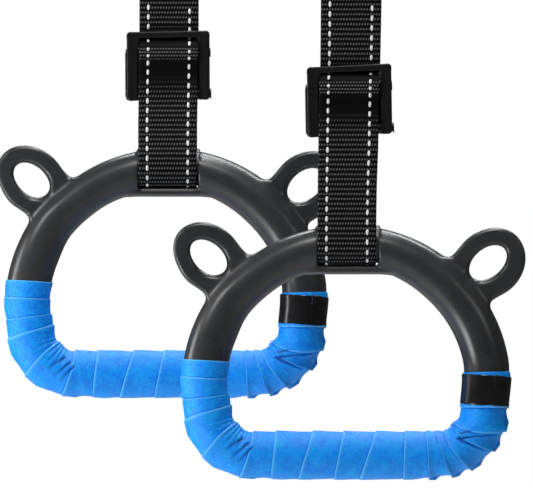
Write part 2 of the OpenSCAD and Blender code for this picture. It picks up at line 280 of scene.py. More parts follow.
def mat_tape():
    m, nt, b = new_mat("grip_tape")
    co = objco(nt)
    big = noise(nt, co, 120.0, 6.0, 0.72)
    at = nt.nodes.new("ShaderNodeAttribute")
    at.attribute_name = "uvm"
    sep = nt.nodes.new("ShaderNodeSeparateXYZ")
    nt.links.new(at.outputs["Vector"], sep.inputs[0])
    # small pressed dots all over the tape
    v = nt.nodes.new("ShaderNodeTexVoronoi")
    v.feature = "F1"
    setin(v, Scale=900.0, Randomness=0.25)
    nt.links.new(at.outputs["Vector"], v.inputs["Vector"])
    fibres = noise(nt, at.outputs["Vector"], 500.0, 3.0, 0.7)
    edge = nt.nodes.new("ShaderNodeAttribute")
    edge.attribute_name = "edge"
    mott = noise(nt, co, 620.0, 4.0, 0.75)
    both = mathn(nt, "ADD", mathn(nt, "MULTIPLY", big, 0.45), mathn(nt, "MULTIPLY", mott, 0.55))
    c1 = ramp(nt, both, [(0.38, (0.0002, 0.205, 0.90)), (0.5, (0.0005, 0.30, 0.99)), (0.62, (0.002, 0.41, 1.0))])
    c = c1
    # painted highlight and painted shade: tone below 0.5 mixes towards light blue on the raised leading edges, tone
    # above 0.5 towards dark blue along the trailing edges and fold creases
    for lo, hi, col in ((0.5, 0.0, (0.10, 0.50, 1.0, 1)), (0.5, 1.0, (0.0005, 0.03, 0.22, 1))):
        mix = nt.nodes.new("ShaderNodeMix")
        mix.data_type = "RGBA"
        mix.inputs[7].default_value = col
        nt.links.new(c, mix.inputs[6])
        nt.links.new(maprange(nt, edge.outputs["Fac"], lo, hi, 0.0, 0.85), mix.inputs[0])
        c = mix.outputs[2]
    nt.links.new(c, b.inputs["Base Color"])
    b.inputs["Specular IOR Level"].default_value = 0.3
    nt.links.new(maprange(nt, big, 0.3, 0.7, 0.40, 0.52), b.inputs["Roughness"])
    n1 = bump(nt, v.outputs["Distance"], 0.4, 0.0003)
    n2 = bump(nt, fibres, 0.35, 0.0003, n1)
    nt.links.new(bump(nt, both, 0.45, 0.0016, n2), b.inputs["Normal"])
    return m


def mat_band():
    m, nt, b = new_mat("finish_tape")
    co = objco(nt)
    big = noise(nt, co, 60.0, 3.0, 0.6)
    nt.links.new(ramp(nt, big, [(0.3, (0.006, 0.006, 0.006)), (0.7, (0.011, 0.011, 0.012))]), b.inputs["Base Color"])
    nt.links.new(maprange(nt, big, 0.3, 0.7, 0.16, 0.26), b.inputs["Roughness"])
    nt.links.new(bump(nt, noise(nt, co, 220.0, 3.0), 0.08, 0.0004), b.inputs["Normal"])
    return m


def mat_web():
    """Woven webbing: rows of yarn bumps, each row shifted half a yarn from the last; "wuv" holds x, place along the
    strap and how flat it lies. The colour is painted light: yarn tops painted light grey as highlight, grooves and
    flat-lying weave painted near black as shade.
    """
    m, nt, b = new_mat("webbing")
    at = nt.nodes.new("ShaderNodeAttribute")
    at.attribute_name = "wuv"
    sep = nt.nodes.new("ShaderNodeSeparateXYZ")
    nt.links.new(at.outputs["Vector"], sep.inputs[0])
    fuzz = noise(nt, objco(nt), 2300.0, 3.0, 0.7)
    blotch = noise(nt, objco(nt), 260.0, 3.0, 0.6)
    jit = mathn(nt, "MULTIPLY", mathn(nt, "SUBTRACT", blotch, 0.5), 0.35)
    row = mathn(nt, "ADD", sep.outputs[1], mathn(nt, "MULTIPLY", jit, 0.25))
    f = mathn(nt, "FRACT", row)
    half = mathn(nt, "MULTIPLY", mathn(nt, "FLOOR", row), 0.5)
    ph = mathn(nt, "ADD", mathn(nt, "ADD", sep.outputs[0], half), mathn(nt, "MULTIPLY", mathn(nt, "SUBTRACT", f, 0.5), 0.45))
    ph = mathn(nt, "ADD", ph, mathn(nt, "MULTIPLY", jit, 0.6))
    yarn = mathn(nt, "ADD", mathn(nt, "MULTIPLY", mathn(nt, "COSINE", mathn(nt, "MULTIPLY", ph, 6.28318)), 0.5), 0.5)
    ridge = mathn(nt, "POWER", mathn(nt, "SINE", mathn(nt, "MULTIPLY", f, 3.14159)), 1.6)
    h = mathn(nt, "MULTIPLY", ridge, mathn(nt, "ADD", mathn(nt, "MULTIPLY", yarn, 0.62), 0.38))
    h = mathn(nt, "MULTIPLY", h, mathn(nt, "ADD", mathn(nt, "MULTIPLY", fuzz, 0.7), 0.65))
    # painted shade: where the weave lies flat the colour is held dark
    h = mathn(nt, "MULTIPLY", h, sep.outputs[2])
    # painted highlight on the yarn tops (light grey) and painted shade in the grooves (near black)
    nt.links.new(ramp(nt, h, [(0.12, (0.0012, 0.0012, 0.0012)), (0.45, (0.006, 0.006, 0.006)), (0.8, (0.085, 0.083, 0.083)), (1.0, (0.17, 0.167, 0.167))]), b.inputs["Base Color"])
    nt.links.new(maprange(nt, fuzz, 0.3, 0.7, 0.5, 0.7), b.inputs["Roughness"])
    nt.links.new(bump(nt, h, 0.8, 0.0005), b.inputs["Normal"])
    b.inputs["Specular IOR Level"].default_value = 0.08
    return m


def mat_thread(name, c0, c1, rough):
    m, nt, b = new_mat(name)
    co = objco(nt)
    f = noise(nt, co, 1800.0, 3.0, 0.7)
    nt.links.new(ramp(nt, f, [(0.3, c0), (0.7, c1)]), b.inputs["Base Color"])
    nt.links.new(maprange(nt, f, 0.3, 0.7, rough, rough + 0.15), b.inputs["Roughness"])
    nt.links.new(bump(nt, f, 0.4, 0.0002), b.inputs["Normal"])
    return m


def mat_metal(name, c0, c1, metallic, r0, r1, grain=700.0, strength=0.1):
    m, nt, b = new_mat(name)
    co = objco(nt)
    big = noise(nt, co, 90.0, 4.0, 0.6)
    fine = noise(nt, co, grain, 3.0, 0.6)
    nt.links.new(ramp(nt, big, [(0.3, c0), (0.7, c1)]), b.inputs["Base Color"])
    b.inputs["Metallic"].default_value = metallic
    if metallic < 0.5:
        b.inputs["Specular IOR Level"].default_value = 0.3
    nt.links.new(maprange(nt, fine, 0.3, 0.7, r0, r1), b.inputs["Roughness"])
    nt.links.new(bump(nt, fine, strength, 0.0002), b.inputs["Normal"])
    return m


M = {
    "plastic": mat_plastic(), "tape": mat_tape(), "band": mat_band(), "web": mat_web(),
    "tracer": mat_thread("tracer", (0.75, 0.75, 0.74), (0.92, 0.92, 0.9), 0.45),
    "thread": mat_thread("thread", (0.012, 0.012, 0.012), (0.03, 0.03, 0.03), 0.55),
    "black": mat_metal("black_coat", (0.0025, 0.0025, 0.0025), (0.0045, 0.0045, 0.0045), 0.0, 0.36, 0.5),
    "steel": mat_metal("steel", (0.42, 0.42, 0.43), (0.55, 0.55, 0.56), 1.0, 0.25, 0.4),
}


# ------------------------------------------------------------------ ring
def path_dist(x, z):
    """Distance in the ring's plane to the middle of its bar."""
    a = np.abs(x)
    rad = np.hypot(x, z)
    d = np.where(z >= 0, np.abs(rad - ARC), 1e9)
    zz = np.clip(z, SIDE_Z, 0)
    d = np.minimum(d, np.hypot(a - ARC, z - zz))
    on = (a >= CX) & (z <= SIDE_Z)
    d = np.minimum(d, np.where(on, np.abs(np.hypot(a - CX, z - SIDE_Z) - CR), 1e9))
    xc = np.minimum(a, CX)
    return np.minimum(d, np.hypot(a - xc, z + DROP))


def ellipse(u, v, a, b):
    k0 = np.sqrt((u / a) ** 2 + (v / b) ** 2)
    k1 = np.sqrt((u / a ** 2) ** 2 + (v / b ** 2) ** 2)
    return np.where(k1 > 1e-9, k0 * (k0 - 1) / np.maximum(k1, 1e-9), -np.minimum(a, b))


def ring_sdf(p):
    x, y, z = p[:, 0], p[:, 1], p[:, 2]
    a = np.abs(x)
    ang = np.degrees(np.arctan2(z, a))
    r = 14.0 + 0.45 * smoothstep(60, 15, ang) * (ang > -20) - 0.85 * smoothstep(45, 85, ang)
    r = r - (r - 13.8) * smoothstep(6, -2, z)
    inner_left = 0.85 * smoothstep(22, 38, ang) * smoothstep(75, 55, ang) * (x < 0)
    r = r - inner_left
    up = 0.45 * smoothstep(40, 80, ang) + inner_left
    k = 1 - up / ARC
    tube = np.hypot(path_dist(x * k, np.where(z > 0, z * k, z)), y) - r
    # ears, the right one a little lower than the left
    right = x > 0
    px, pz = np.where(right, 89.8, 89.3), np.where(right, 79.0, 82.4)
    ea = np.radians(np.where(right, 39.8, 42.2))
    ca, sa = np.cos(ea), np.sin(ea)
    u = (a - px) * ca + (z - pz) * sa
    v = -(a - px) * sa + (z - pz) * ca
    low_side = np.where(right, 2.0, -1.0) * (v < 0)
    body = ellipse(u, v, 25.2, 20.3 + low_side)
    width = 20.3 + low_side - 2.0 * smoothstep(0, -15, u) + 1.5 * smoothstep(-14, -30, u)
    neck = np.maximum(np.abs(v) - width, -30.0 - u)
    flat = np.where(u > 0, body, neck)
    hole = ellipse(u, v, 13.7, 8.95)
    t = 5.2 - 0.6 * smoothstep(-15, 20, u)
    # rounded rim, with a bevelled band round the hole
    plate = smax(flat, np.abs(y) - t, 3.2)
    d = smin(tube, plate, 4.5)
    cone = (-hole) + (np.abs(y) - 2.6) * 0.9
    d = smax(d, smax(-hole, cone * 0.75 - 0.0, 1.2), 1.0)
    # strap slot: everything round the seat goes, then the seat and the lip under it come back
    sz = z - (ARC + SEAT_UP)
    rho = np.hypot(sz, y)
    cut = np.maximum(np.abs(x) - 19.7, rho - 28.0)
    d = smax(d, -cut, 1.0)
    seat = np.maximum(rho - 12.0, np.abs(x) - 20.6)
    d = np.minimum(d, seat)
    th = np.abs(np.arctan2(y, -sz))
    lip = np.maximum(np.abs(rho - 17.15) - 2.3 + 0.9, rho * (th - math.radians(24)) + 0.9)
    lip = np.hypot(np.maximum(np.abs(rho - 17.15) - 1.4, 0), np.maximum(rho * (th - math.radians(22)), 0)) - 0.95 + np.minimum(np.maximum(np.abs(rho - 17.15) - 1.4, rho * (th - math.radians(22))), 0)
    lip = smax(lip, a - 27.0, 3.0)
    return smin(d, lip, 2.5)


def warp(v):
    """The moulding isn't quite symmetric: its left side stands out a little and its lower right corner is drawn in."""
    v = np.array(v, float)
    x, z = v[:, 0].copy(), v[:, 2].copy()
    v[:, 0] -= 1.25 * smoothstep(-38, 12, z) * smoothstep(84, 50, z) * smoothstep(-25, -75, x)
    v[:, 0] -= 1.6 * smoothstep(-14, 0, z) * smoothstep(78, 60, z) * smoothstep(-40, -70, x)
    v[:, 0] += 0.5 * smoothstep(60, 45, z) * smoothstep(5, 18, z) * smoothstep(40, 75, x)
    v[:, 0] -= 3.0 * smoothstep(14, -26, z) * smoothstep(30, 88, x)
    v[:, 2] += 2.0 * smoothstep(-20, -50, z) * smoothstep(40, 75, x) + 0.8 * smoothstep(-35, -50, z) * smoothstep(-42, -55, x)
    return v


Q = 1.25
ring_v, ring_f = surface_nets(ring_sdf, (-116, -17, -62), (116, 17, 108), Q)
ring_v = warp(ring_v)


# ------------------------------------------------------------------ the bar's path, for the tape
def bar_path():
    """Points along the middle of the bar from the left side's top, round the bottom, to the right side's top."""
    pts = []
    for t in np.linspace(math.radians(180 - 30), math.pi, 60, endpoint=False):
        pts.append((ARC * math.cos(t), ARC * math.sin(t)))
    for z in np.linspace(0, SIDE_Z, 20, endpoint=False):
        pts.append((-ARC, z))
    for t in np.linspace(math.pi, 1.5 * math.pi, 60, endpoint=False):
        pts.append((-CX + CR * math.cos(t), SIDE_Z + CR * math.sin(t)))
    for x in np.linspace(-CX, CX, 120, endpoint=False):
        pts.append((x, -DROP))
    for t in np.linspace(-0.5 * math.pi, 0, 60, endpoint=False):
        pts.append((CX + CR * math.cos(t), SIDE_Z + CR * math.sin(t)))
    for z in np.linspace(SIDE_Z, 0, 20, endpoint=False):
        pts.append((ARC, z))
    for t in np.linspace(0, math.radians(30), 60):
        pts.append((ARC * math.cos(t), ARC * math.sin(t)))
    return np.array(pts)


BP = bar_path()
BS = np.concatenate([[0], np.cumsum(np.hypot(*np.diff(BP, axis=0).T))])


def bar_at(s):
    x = np.interp(s, BS, BP[:, 0])
    z = np.interp(s, BS, BP[:, 1])
    e = 0.5
    dx = np.interp(s + e, BS, BP[:, 0]) - np.interp(s - e, BS, BP[:, 0])
    dz = np.interp(s + e, BS, BP[:, 1]) - np.interp(s - e, BS, BP[:, 1])
    n = np.hypot(dx, dz)
    return x, z, dx / n, dz / n


def s_of(px, pz):
    """Where along the bar the point nearest to (px, pz) lies."""
    return BS[np.argmin(np.hypot(BP[:, 0] - px, BP[:, 1] - pz))]


# ------------------------------------------------------------------ grip tape: one ribbon wound along the bar
PX = 0.641
SEAMS_PX = [  # outer edge, inner edge of each visible seam, as a front view offset from the arc's centre
    ((-161.2, 27.1), (-118.8, 25.1)), ((-163.5, 10.0), (-121.0, 7.5)), ((-166.0, -14.0), (-122.0, -8.0)),
    ((-165.0, -33.0), (-120.0, -19.0)), ((-144.0, -70.0), (-113.0, -36.0)), ((-109.0, -90.0), (-96.0, -49.0)), ((-77.0, -91.0), (-73.0, -50.0)),
    ((-50.0, -94.0), (-35.0, -47.0)), ((-15.0, -93.5), (-5.5, -57.0)), ((12.0, -93.5), (27.0, -48.0)), ((55.0, -86.0), (57.0, -48.0)),
    ((82.0, -94.0), (79.0, -49.0)), ((107.0, -91.0), (88.0, -50.0)), ((124.0, -79.0), (99.0, -54.0)), ((143.0, -62.0), (112.0, -50.0)),
    ((156.0, -44.0), (116.0, -44.0)), ((161.0, -22.0), (114.0, -21.0)), ((161.5, 3.0), (114.5, 2.0)), ((160.5, 14.5), (115.5, 13.5))]


def seam_table():
    so, si = [], []
    for o, i in SEAMS_PX:
        so.append(s_of(o[0] * PX, o[1] * PX))
        si.append(s_of(i[0] * PX, i[1] * PX))
    so, si = np.array(so), np.array(si)
    for k in range(1, len(so)):
        so[k] = max(so[k], so[k - 1] + 3.0)
        si[k] = max(si[k], si[k - 1] + 3.0)
    return so, si


SO, SI = seam_table()
NW = len(SO) - 1


def seam_s(k, phi):
    """Place along the bar of seam k at angle phi (0 outer edge, pi inner edge, over the front first)."""
    k2 = np.minimum(k + 1, NW)
    so, si = SO[k], SI[k]
    so2 = np.where(k + 1 <= NW, SO[k2], SO[NW] + 2.0)
    f = (1 - np.cos(phi)) / 2
    b = (1 - np.cos(phi - math.pi)) / 2
    last = k >= NW
    back = np.where(last, si + (so - si) * b, si + (so2 - si) * b * 0.35 + (SO[k] - si) * b * 0.65)
    return np.where(phi <= math.pi, so + (si - so) * f, back)


def wave(s, phi, seed):
    r = np.random.default_rng(seed)
    out = 0
    for _ in range(10):
        out = out + r.normal() * np.sin(r.uniform(0.05, 0.32) * s + r.integers(0, 4) * phi + r.uniform(0, 6.28)) * 0.32
    return out


def wrap_mesh(name, seed):
    """The turns of the tape, each a closed hoop with its raised leading edge over the turn before it."""
    nphi = 144
    V, F, S, E = [], [], [], []
    phis = np.linspace(0, 2 * math.pi, nphi, endpoint=False)
    us = np.concatenate([[0, 0, 0.006, 0.02], np.linspace(0.045, 0.955, 30), [0.985, 1.0, 1.0, 1.03, 1.03, 0.7, 0.35]])
    J = len(us)
    # painted light per row of a turn: a low tone paints a highlight on the raised leading edge, a high tone paints
    # shade where the turn dips under the next one
    seam_light_shade_by_row = {0: 0.5, 1: 0.1, 2: 0.0, 3: 0.0, 4: 0.15, 5: 0.4, J - 7: 0.62, J - 6: 0.8, J - 5: 0.8, J - 4: 0.8}
    base = 0
    for k in range(NW):
        a0, a1 = seam_s(np.full(nphi, k), phis), seam_s(np.full(nphi, k + 1), phis)
        for j, u in enumerate(us):
            s = a0 + (a1 - a0) * u
            w = wave(s, phis, seed) * 0.12 + wave(s * 2.3, phis * 1, seed + k) * 0.05
            # creases that fan out from the inside of the corners
            x, z, dx, dz = bar_at(s)
            corner = np.exp(-((s - CORN[0]) / 16) ** 2) + np.exp(-((s - CORN[1]) / 16) ** 2)
            inner = smoothstep(0.2, 1.0, (1 - np.cos(phis)) / 2)
            w = w + 0.30 * corner * inner * np.sin(1.35 * s + 1.3 * np.sin(phis) + k)
            # the ribbon runs straight from edge to edge round the outside of a corner, and its edge stands off there
            outer = smoothstep(0.35, 1.0, (1 + np.cos(phis)) / 2)
            turn0 = smoothstep(CORN[0] - 24, CORN[0] - 12, s) * smoothstep(CORN[0] + 34, CORN[0] + 22, s)
            turn1 = smoothstep(CORN[1] - 40, CORN[1] - 26, s) * smoothstep(CORN[1] + 30, CORN[1] + 20, s)
            w = w + (turn0 + turn1) * outer * (0.35 - 1.25 * 4 * u * (1 - u)) + turn1 * outer * 1.1 * max(0.0, 1 - u * 3) ** 2
            # pressed flat where it starts, high on the left side
            w = w - 0.55 * smoothstep(S_THIN + 8, S_THIN - 8, s)
            bulge = 1.1 * np.exp(-((s - CORN[0]) / 11) ** 2) + 2.3 * np.exp(-((s - CORN[1]) / 10) ** 2)
            w = w + bulge * smoothstep(0.55, 1.0, (1 - np.cos(phis)) / 2)
            top = 15.0 + 0.78 * (1 - u) + w
            # folds pulled across the inside of the corners; the painted tone starts from the row's seam tone and goes
            # dark along each crease as painted shade
            e = np.full(nphi, seam_light_shade_by_row.get(j, 0.5))
            fx, fz = x + 15.5 * np.cos(phis) * dz, z - 15.5 * np.cos(phis) * dx
            front = np.sin(phis) > 0.05
            for ax, az, bx, bz, deep, sig in FOLDS:
                t = np.clip(((fx - ax) * (bx - ax) + (fz - az) * (bz - az)) / ((bx - ax) ** 2 + (bz - az) ** 2), 0, 1)
                dd = np.hypot(fx - ax - t * (bx - ax), fz - az - t * (bz - az))
                side = (fx - ax) * (bz - az) - (fz - az) * (bx - ax)
                g = np.exp(-(dd / sig) ** 2) * (1 - 0.75 * t) * front
                top = top - deep * g + 0.35 * deep * np.exp(-((dd - 2.2 * sig) / (1.3 * sig)) ** 2) * (side > 0) * (1 - 0.75 * t) * front
                if deep > 0:
                    e = e + (0.98 - e) * np.clip(g * 1.3, 0, 1)
            top = np.maximum(top, 14.62)
            if j == 0:
                r = np.full(nphi, 14.3)
            elif j == 1:
                r = top - 0.30
            elif j == 2:
                r = top - 0.09
            elif j == 3:
                r = top + 0.03
            elif j == 4:
                r = top + 0.04
            elif j < J - 6:
                r = top - 0.16 * smoothstep(0.9, 1.0, u)
            elif j in (J - 6, J - 5, J - 4):
                r = top - 0.30 if j == J - 6 else top - 0.45
            else:
                r = np.full(nphi, 14.3)
            ox, oz = dz, -dx
            P = np.stack([x + r * np.cos(phis) * ox, -r * np.sin(phis), z + r * np.cos(phis) * oz], -1)
            V.append(P)
            S.append(np.stack([s * 0.001, phis * 15.5 * 0.001, np.zeros(nphi)], -1))
            E.append(e)
        m = len(us)
        for j in range(m):
            j2 = (j + 1) % m
            for i in range(nphi):
                i2 = (i + 1) % nphi
                F.append((base + j * nphi + i, base + j2 * nphi + i, base + j2 * nphi + i2, base + j * nphi + i2))
        base += m * nphi
    return warp(np.concatenate(V)), F, np.concatenate(S), np.concatenate(E)


# folds in the front view, mm from the arc's centre: from the inside of the corner outwards, depth, half width
FOLDS = [(72.5, -34.6, 98.0, -31.2, 1.5, 0.75), (74.5, -35.6, 90.5, -42.5, 1.1, 0.7), (75.0, -31.0, 84.0, -28.0, 0.5, 0.7),
         (-64.0, -36.5, -74.0, -46.0, 0.8, 0.7), (-61.5, -39.5, -70.5, -49.5, 0.7, 0.7), (-67.5, -33.5, -78.0, -40.0, 0.5, 0.8)]
S_THIN = s_of(-ARC, -6.0)
CORN = (s_of(-CX - CR * 0.7071, SIDE_Z - CR * 0.7071), s_of(CX + CR * 0.7071, SIDE_Z - CR * 0.7071))


def band_mesh():
    """The finishing tape: a spiral of a little over one turn, so it ends in a step."""
    a_o, a_i = s_of(160.0 * PX, -23.0 * PX), s_of(114.0 * PX, -17.7 * PX)
    b_o, b_i = s_of(162.4 * PX, 8.3 * PX), s_of(115.3 * PX, 12.7 * PX)
    n = 150
    t = np.linspace(0, 1, n)
    phi = math.radians(28) + t * 2 * math.pi * 1.12
    f = (1 - np.cos(phi)) / 2
    s0, s1 = a_o + (a_i - a_o) * f, b_o + (b_i - b_o) * f
    s0 = s0 + 0.9 * smoothstep(0.85, 1.0, t)
    s1 = s1 + 0.5 * smoothstep(0.9, 1.0, t)
    vs = [0, 0.02, 0.06, 0.2, 0.35, 0.5, 0.65, 0.8, 0.94, 0.98, 1]
    drop = [0.22, 0.05, 0, 0, 0, 0, 0, 0, 0, 0.05, 0.22]
    V, F = [], []
    for side in (0, 1):
        for j, v in enumerate(vs if side == 0 else vs[::-1]):
            s = s0 + (s1 - s0) * v
            x, z, dx, dz = bar_at(s)
            r = 15.85 + 0.26 * t - (drop[j] if side == 0 else 0.3) + 0.05 * wave(s, phi, 3) * (side == 0)
            V.append(np.stack([x + r * np.cos(phi) * dz, -r * np.sin(phi), z - r * np.cos(phi) * dx], -1))
    m = len(V)
    for j in range(m):
        for i in range(n - 1):
            j2 = (j + 1) % m
            F.append((j * n + i, j2 * n + i, j2 * n + i + 1, j * n + i + 1))
    for i in (0, n - 1):
        cap = [j * n + i for j in range(m)]
        F.append(tuple(cap if i else cap[::-1]))
    return warp(np.concatenate(V)), F


# ------------------------------------------------------------------ webbing
def catmull(pts, k):
    p = np.array(pts, float)
    out = []
    for i in range(len(p) - 1):
        p0, p1, p2, p3 = p[max(i - 1, 0)], p[i], p[i + 1], p[min(i + 2, len(p) - 1)]
        for j in range(k):
            t = j / k
            out.append(0.5 * (2 * p1 + (p2 - p0) * t + (2 * p0 - 5 * p1 + 4 * p2 - p3) * t * t + (3 * p1 - p0 - 3 * p2 + p3) * t ** 3))
    out.append(p[-1])
    return out


def arc(c, r, a0, a1, n):
    t = np.radians(np.linspace(a0, a1, n + 1))
    return [np.array([c[0] + r * math.cos(q), c[1] + r * math.sin(q)]) for q in t]


def routes(st):
    zs, zb = st["zs"], st["zb"]
    z0 = zb - FRAME_H / 2

    def side(y, b):
        return (RING_Y + y, z0 + b)
    cut = -92.0
    front = [(WEB_Y, cut), (WEB_Y, -110.0), (WEB_Y, (-110.0 + zb + FRAME_H / 2) / 2), side(0.95, 44.8), side(0.95, 42.4), side(0.6, 40.9), side(-0.8, 39.8), side(-3.6, 38.3), side(-6.0, 35.8),
             side(-7.0, 32.4), side(-7.15, 29.6), side(-6.7, 27.0), side(-5.6, 24.2), side(-4.9, 21.0), side(-5.0, 16.5), side(-5.7, 10.5), side(-6.3, 5), side(-7.0, 0),
             (RING_Y - 10.6, zs + (z0 - zs) * 0.45), (RING_Y - LOOP_R, zs + 8)]
    a, b = np.array([RING_Y + LOOP_R, zs + 6]), np.array([RING_Y + 6.9, z0 - 3])
    d = (a - b) / np.linalg.norm(a - b)
    n = np.array([d[1], -d[0]])
    n = n * (1 if n[0] < 0 else -1)
    s = b + n * 2.05
    loop = catmull(front, 6) + arc((RING_Y, zs), LOOP_R, 180, 360, 40) + catmull([tuple(a), tuple(b), side(6.0, 4)], 6) \
        + arc(side(1.5, 4), 4.5, 20, 180, 20) + catmull([side(-2.4, 0), tuple(s + d * 3), tuple(s + d * 19)], 6)
    # the hanging eye: down from its sewn end, round the bar, and back down in front
    em, th = 18.0, -46.0
    ea = math.asin(em / abs(th))
    eye = [np.array([WEB_Y + 2.03, th - 32.0]), np.array([WEB_Y + 2.03, th - 16.0]), np.array([WEB_Y + 2.0, th - 3.0]), np.array([WEB_Y + 3.2, th + 3.5])]
    left = [np.array([WEB_Y - 0.0, th - 3.0]), np.array([WEB_Y, th - 16.0]), np.array([WEB_Y, -74.0]), np.array([WEB_Y, -82.0]), np.array([WEB_Y, cut])]
    up = catmull(eye + [np.array([em * math.cos(ea) * 0.6, th * 0.6 - em * math.sin(ea) * 0.4])], 6)
    top = arc((0, 0), em, -math.degrees(ea), 180 + math.degrees(ea), 60)
    dn = catmull([np.array([-em * math.cos(ea) * 0.6, th * 0.6 - em * math.sin(ea) * 0.4]), np.array([WEB_Y - 1.2, th + 3.5])] + left, 6)
    return up + top + dn, loop, (s, d, n)


def resample(pts, ds):
    p = np.array(pts, float)
    keep = [0]
    for i in range(1, len(p)):
        if np.hypot(*(p[i] - p[keep[-1]])) > 0.05:
            keep.append(i)
    p = p[keep]
    L = np.concatenate([[0], np.cumsum(np.hypot(*np.diff(p, axis=0).T))])
    n = int(round(L[-1] / ds)) + 1
    s = np.linspace(0, L[-1], n)
    q = np.stack([np.interp(s, L, p[:, 0]), np.interp(s, L, p[:, 1])], -1)
    k = 5
    for _ in range(3):
        r = q.copy()
        r[1:-1] = 0.25 * q[:-2] + 0.5 * q[1:-1] + 0.25 * q[2:]
        q = r
    t = np.gradient(q, axis=0)
    t /= np.linalg.norm(t, axis=1)[:, None]
    return s, q, t


RIB, YARN, WW = 3.17, 1.78, 19.0


def lean(z, st):
    """Sideways drift of the webbing along its height."""
    zt, dx = st["lean"]
    return np.interp(z, zt, dx)


def spread(z, st):
    """How wide the webbing lies along its height: pulled a little narrow where it rounds the ring."""
    zt, w = st["wide"]
    return np.interp(z, zt, w)


def lie(v, st):
    v = np.array(v, float)
    v[:, 0] = v[:, 0] * spread(v[:, 2], st) + lean(v[:, 2], st)
    return v


def pressed(y, z, st):
    """How freely the weave stands up (1 on free webbing), from its height in the buckle's window. Low values also hold
    the webbing's colour dark there, a painted shade band.
    """
    b = z - (st["zb"] - FRAME_H / 2)
    f = np.interp(b, [-6, 4, 10, 14, 18, 20, 25.2, 26.8, 28.5, 33.5, 35, 37, 40, 46, 50], [1, 0.92, 0.75, 0.5, 0.28, 0.1, 0.1, 0.8, 1.2, 1.2, 0.5, 0.15, 0.2, 0.7, 1])
    return np.where(y < RING_Y + 3.0, f, 1.0)


def crowding(y, z, st):
    """Rows per rib: the weave is squeezed together where the webbing turns over the cam."""
    b = z - (st["zb"] - FRAME_H / 2)
    return np.where(y < RING_Y, 1 + 0.5 * smoothstep(25.5, 27.5, b) * smoothstep(35, 33.5, b), 1.0)


def web_mesh(pts, r_off, st, half=1.0):
    """A strap of woven webbing along pts (side view); r_off is the row it starts on."""
    ds = RIB / 6
    s, q, t = resample(pts, ds)
    weave_lift_and_shade, crowd = pressed(q[:, 0], q[:, 1], st), crowding(q[:, 0], q[:, 1], st)
    rate = crowd / RIB
    rows_at = np.concatenate([[0], np.cumsum((rate[1:] + rate[:-1]) / 2 * np.diff(s))]) + r_off
    n = 86
    xs = np.linspace(-WW, WW, n)
    half_t = half * np.sqrt(np.clip(1 - (np.clip(np.abs(xs) - 17.2, 0, 1.8) / 1.86) ** 2, 0.05, 1))
    N = np.stack([t[:, 1], -t[:, 0]], -1)  # towards the user on the way down
    V, U = [], []
    for sgn, xx in ((1, xs), (-1, xs[::-1])):
        X, R = np.meshgrid(xx, rows_at + (0 if sgn == 1 else 0.5))
        f = R - np.floor(R)
        yarn = 0.5 + 0.5 * np.cos(2 * math.pi * (X / YARN + 0.5 * np.floor(R)))
        w = np.sin(math.pi * f) ** 1.2 * (0.7 + 0.3 * yarn)
        ht = (half_t if sgn == 1 else half_t[::-1])[None, :]
        off = sgn * (ht - 0.5 * (1 - w * np.clip(weave_lift_and_shade, 0, 1)[:, None]) * np.clip(ht * 1.4 - 0.2, 0, 1))
        V.append(np.stack([X, q[:, 0:1] + N[:, 0:1] * off, q[:, 1:2] + N[:, 1:2] * off], -1))
        U.append(np.stack([X / YARN, R, np.broadcast_to(weave_lift_and_shade[:, None], X.shape)], -1))
    V = np.concatenate(V, 1)
    U = np.concatenate(U, 1)
    rows, cols = V.shape[:2]
    i, j = np.meshgrid(np.arange(rows - 1), np.arange(cols), indexing="ij")
    j2 = (j + 1) % cols
    F = np.stack([i * cols + j, i * cols + j2, (i + 1) * cols + j2, (i + 1) * cols + j], -1).reshape(-1, 4).tolist()
    F.append(list(range(cols))[::-1])
    F.append([(rows - 1) * cols + c for c in range(cols)])
    return V.reshape(-1, 3), F, U.reshape(-1, 3), (s, q, t, N, rows_at, crowd)


def blobs(centres, T, X, N, size, seg=8, rings=5):
    """Small closed ellipsoids; size = half lengths along T, X and N."""
    V, F = [], []
    base = 0
    for c, t, x, n in zip(centres, T, X, N):
        vs = [c + t * size[0]]
        for i in range(1, rings):
            th = math.pi * i / rings
            for j in range(seg):
                ph = 2 * math.pi * j / seg
                vs.append(c + t * size[0] * math.cos(th) + (x * size[1] * math.cos(ph) + n * size[2] * math.sin(ph)) * math.sin(th) ** 0.8)
        vs.append(c - t * size[0])
        for j in range(seg):
            j2 = (j + 1) % seg
            F.append((base, base + 1 + j2, base + 1 + j))
            for i in range(rings - 2):
                a = base + 1 + i * seg
                F.append((a + j, a + j2, a + seg + j2, a + seg + j))
            a = base + 1 + (rings - 2) * seg
            F.append((a + j, a + j2, base + 1 + (rings - 1) * seg))
        V += vs
        base += len(vs)
    return np.array(V), F


def tracer(info, sides=(1, -1)):
    """The two dashed lines: a bright yarn on top for one row in two, the right line three quarters of a row behind the left."""
    s, q, t, N, rows_at, crowd = info
    V, F, base = [], [], 0
    for x, lag in ((-13.2, 0.0), (13.2, 0.77)):
        k = math.ceil((rows_at[0] + 0.6 - lag) / 2)
        while 2 * k + lag + 0.5 < rows_at[-1] - 0.6:
            i = int(np.argmin(np.abs(rows_at - (2 * k + lag + 0.5))))
            k += 1
            T = np.array([0, t[i, 0], t[i, 1]])
            NN = np.array([0, N[i, 0], N[i, 1]])
            for sg in sides:
                c = np.array([x, q[i, 0] + N[i, 0] * sg * 0.84, q[i, 1] + N[i, 1] * sg * 0.84])
                v, f = blobs([c], [T], [np.array([1.0, 0, 0])], [NN], (1.85 / crowd[i] ** 1.3, 0.88, 0.36), 8, 7)
                F += [tuple(base + a for a in g) for g in f]
                V.append(v)
                base += len(v)
    return np.concatenate(V), F


